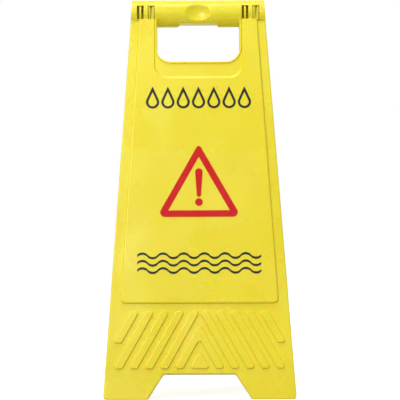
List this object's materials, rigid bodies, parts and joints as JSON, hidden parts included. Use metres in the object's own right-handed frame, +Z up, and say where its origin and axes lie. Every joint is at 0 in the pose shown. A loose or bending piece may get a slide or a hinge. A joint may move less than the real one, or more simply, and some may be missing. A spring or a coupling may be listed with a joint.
{
  "type": "wet floor sign",
  "caption": "Folding A-frame floor warning sign with a round carry handle, hand hole, raised print field and slanting ribs.",
  "frame": {"origin": "middle of the footprint on the floor, straight below the hinge axis, with the sign open", "axes": "+Z up; X along the hinge axis and handle; the front panel faces -Y and the rear panel faces +Y"},
  "size_m": [0.294, 0.2824, 0.62],
  "materials": {
    "yellow_plastic": "gloss",
    "red_ink": "gloss",
    "black_ink": "gloss"
  },
  "bodies": {
    "front": {"front_panel": "yellow_plastic", "front_warning_triangle": "red_ink", "front_exclamation_mark": "red_ink", "front_drop_row": "black_ink", "front_wave_lines": "black_ink"},
    "rear": {"rear_panel": "yellow_plastic", "rear_warning_triangle": "red_ink", "rear_exclamation_mark": "red_ink", "rear_drop_row": "black_ink", "rear_wave_lines": "black_ink"}
  },
  "joints": [
    {"name": "fold", "type": "hinge", "parent": "front", "child": "rear", "pos_m": [0, 0, 0.5985], "axis": [-1, 0, 0], "range_deg": [0, 24]}
  ]
}
